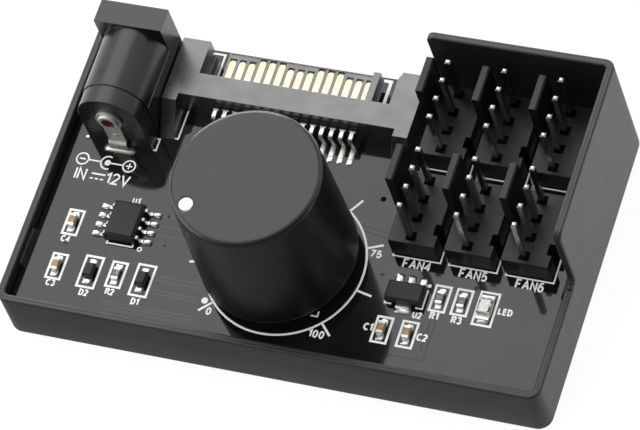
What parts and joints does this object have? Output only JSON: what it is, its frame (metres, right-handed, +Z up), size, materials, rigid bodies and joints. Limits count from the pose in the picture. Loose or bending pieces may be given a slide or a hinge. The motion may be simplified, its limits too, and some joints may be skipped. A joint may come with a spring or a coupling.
{
  "type": "pc fan controller hub",
  "caption": "Small black fan controller hub: an open tray with a circuit board, a speed dial, a barrel jack, a SATA power plug and rows of fan headers.",
  "frame": {"origin": "centre of the tray's underside", "axes": "+Z up, +X along the long side towards the fan headers, +Y towards the connectors at the back"},
  "size_m": [0.0692, 0.0408, 0.0264],
  "materials": {
    "tray_plastic": "fine-layered matt black",
    "board_mask": "glossy black solder mask",
    "knob_plastic": "fine-grained matt black",
    "white_paint": "matt white",
    "pot_plastic": "satin black",
    "plated_metal": "tin-plated",
    "shaft_metal": "turned",
    "carbon_track": "carbon film on ceramic",
    "connector_plastic": "satin black",
    "brass_pin": "turned and plated",
    "gold_contact": "gold-plated",
    "header_pin": "tin-plated, darkened",
    "chip_epoxy": "matt black moulding",
    "capacitor_ceramic": "tan ceramic with tinned ends",
    "resistor_body": "black glaze with tinned ends",
    "led_white": "off-white",
    "led_clear": "pale yellow resin"
  },
  "bodies": {
    "base": {"base_tray": "tray_plastic", "circuit_board": "board_mask", "pot_housing": "pot_plastic", "pot_cover": "plated_metal", "pot_track": "carbon_track", "pot_terminals": "plated_metal", "jack_housing": "connector_plastic", "jack_centre_pin": "brass_pin", "jack_pin_terminal": "plated_metal", "jack_sleeve_spring": "plated_metal", "jack_switch_contact": "plated_metal", "sata_housing": "connector_plastic", "sata_contacts_short": "gold_contact", "sata_contacts_long": "gold_contact", "driver_chip": "chip_epoxy", "driver_leads": "plated_metal", "regulator": "chip_epoxy", "regulator_leads": "plated_metal", "diode_1": "chip_epoxy", "diode_2": "chip_epoxy", "diode_leads_1": "plated_metal", "diode_leads_2": "plated_metal", "led_base": "led_white", "led_lens": "led_clear", "fan_header_1": "connector_plastic", "fan_header_2": "connector_plastic", "fan_header_3": "connector_plastic", "fan_header_4": "connector_plastic", "fan_header_5": "connector_plastic", "fan_header_6": "connector_plastic", "fan_pins_1": "header_pin", "fan_pins_2": "header_pin", "fan_pins_3": "header_pin", "fan_pins_4": "header_pin", "fan_pins_5": "header_pin", "fan_pins_6": "header_pin", "capacitor_1": "capacitor_ceramic", "capacitor_2": "capacitor_ceramic", "capacitor_3": "capacitor_ceramic", "capacitor_4": "capacitor_ceramic", "resistor_1": "resistor_body", "resistor_2": "resistor_body", "resistor_3": "resistor_body"},
    "dial": {"dial_knob": "knob_plastic", "knob_marker": "white_paint", "pot_shaft": "shaft_metal", "pot_wiper": "pot_plastic"}
  },
  "joints": [
    {"name": "dial_turn", "type": "hinge", "parent": "base", "child": "dial", "pos_m": [-0.00146, -0.00768, 0], "axis": [0, 0, 1], "range_deg": [-265, 5]}
  ]
}
